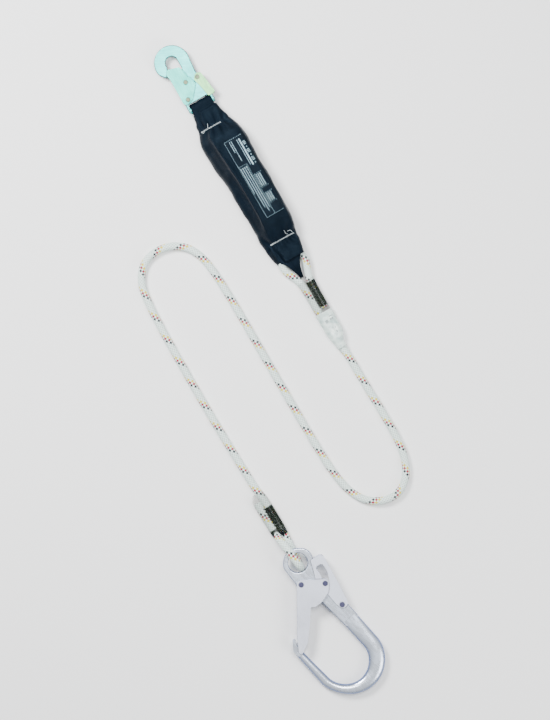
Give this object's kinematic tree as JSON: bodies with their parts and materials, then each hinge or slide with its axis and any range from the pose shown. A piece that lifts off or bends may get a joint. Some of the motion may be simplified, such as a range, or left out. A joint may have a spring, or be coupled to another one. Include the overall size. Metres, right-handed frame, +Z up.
{
  "type": "shock absorbing lanyard",
  "caption": "Fall-arrest lanyard: swinging snap hook, sleeved tear-webbing energy absorber, braided rope with sewn eyes and a large gated scaffold hook.",
  "frame": {"origin": "on the floor, under the middle of the hooks, absorber and webbing as the lanyard lies flat", "axes": "+Z up from the floor, +Y from the scaffold hook towards the snap hook, +X to the right seen from above"},
  "size_m": [0.3975, 0.9455, 0.0366],
  "materials": {
    "plated_steel": "pale green zinc plating, satin",
    "plated_steel_gate": "pale green zinc plating, pressed sheet",
    "plated_steel_lever": "yellowish zinc plating, pressed sheet",
    "rivet_steel": "plated steel",
    "dark_rivet": "dark riveted heads",
    "black_nylon": "woven nylon cover, slight sheen",
    "black_webbing": "ribbed polyamide webbing",
    "white_thread": "bar tack thread",
    "printed_label": null,
    "rope": "white braided mantle with yellow, red and black tracers",
    "black_thread": "waxed sewing thread",
    "clear_sleeve": "translucent shrink sleeve",
    "white_sleeve": "milky shrink sleeve",
    "forged_aluminium": "polished forging",
    "pressed_aluminium": "bright pressed sheet"
  },
  "bodies": {
    "lanyard": {"absorber_cover": "black_nylon", "tear_webbing": "black_webbing", "upper_webbing_loop": "black_webbing", "lower_webbing_loop": "black_webbing", "upper_bar_stitch": "white_thread", "lower_bar_stitch": "white_thread", "instruction_label": "printed_label", "rope": "rope", "upper_splice_stitching": "black_thread", "lower_splice_stitching": "black_thread", "upper_clear_sleeve": "clear_sleeve", "lower_clear_sleeve": "clear_sleeve", "id_sleeve": "white_sleeve"},
    "snap_hook": {"snap_hook_body": "plated_steel", "snap_hook_gate_rivet": "rivet_steel", "snap_hook_lever_rivet": "rivet_steel", "snap_hook_gate_spring": "rivet_steel", "snap_hook_lever_spring": "rivet_steel"},
    "snap_gate": {"snap_hook_gate": "plated_steel_gate", "snap_hook_stop_pin": "rivet_steel"},
    "snap_lever": {"snap_hook_lever": "plated_steel_lever"},
    "scaffold_hook": {"scaffold_hook_body": "forged_aluminium", "scaffold_hook_gate_rivet": "dark_rivet", "scaffold_hook_lever_rivet": "dark_rivet", "scaffold_hook_gate_spring": "rivet_steel", "scaffold_hook_lever_spring": "rivet_steel"},
    "scaffold_gate": {"scaffold_hook_gate": "pressed_aluminium", "scaffold_hook_lock_pin": "dark_rivet"},
    "scaffold_lever": {"scaffold_hook_lever": "pressed_aluminium"}
  },
  "joints": [
    {"name": "snap_hook_swing", "type": "hinge", "parent": "lanyard", "child": "snap_hook", "pos_m": [-0.0975, 0.38713, 0.0096], "axis": [0.866, 0.5, 0], "range_deg": [-60, 60]},
    {"name": "snap_gate_open", "type": "hinge", "parent": "snap_hook", "child": "snap_gate", "pos_m": [-0.11917, 0.39287, 0.0096], "axis": [0, 0, -1], "range_deg": [0, 20], "stiffness_Nm_per_rad": 0.15, "springref_deg": -17.19},
    {"name": "snap_lever_squeeze", "type": "hinge", "parent": "snap_hook", "child": "snap_lever", "pos_m": [-0.10588, 0.42606, 0.0096], "axis": [0, 0, -1], "range_deg": [0, 5], "stiffness_Nm_per_rad": 0.2, "springref_deg": -17.19},
    {"name": "scaffold_hook_swing", "type": "hinge", "parent": "lanyard", "child": "scaffold_hook", "pos_m": [0.0405, -0.281, 0.0175], "axis": [0.0203, -0.0456, 0.9988], "range_deg": [-30, 30]},
    {"name": "scaffold_gate_open", "type": "hinge", "parent": "scaffold_hook", "child": "scaffold_gate", "pos_m": [0.04518, -0.31246, 0.01597], "axis": [0.0203, -0.0456, 0.9988], "range_deg": [0, 40], "stiffness_Nm_per_rad": 0.3, "springref_deg": -22.92},
    {"name": "scaffold_lever_squeeze", "type": "hinge", "parent": "scaffold_hook", "child": "scaffold_lever", "pos_m": [0.10496, -0.34151, 0.01343], "axis": [0.0203, -0.0456, 0.9988], "range_deg": [0, 4], "stiffness_Nm_per_rad": 0.5, "springref_deg": -17.19}
  ]
}
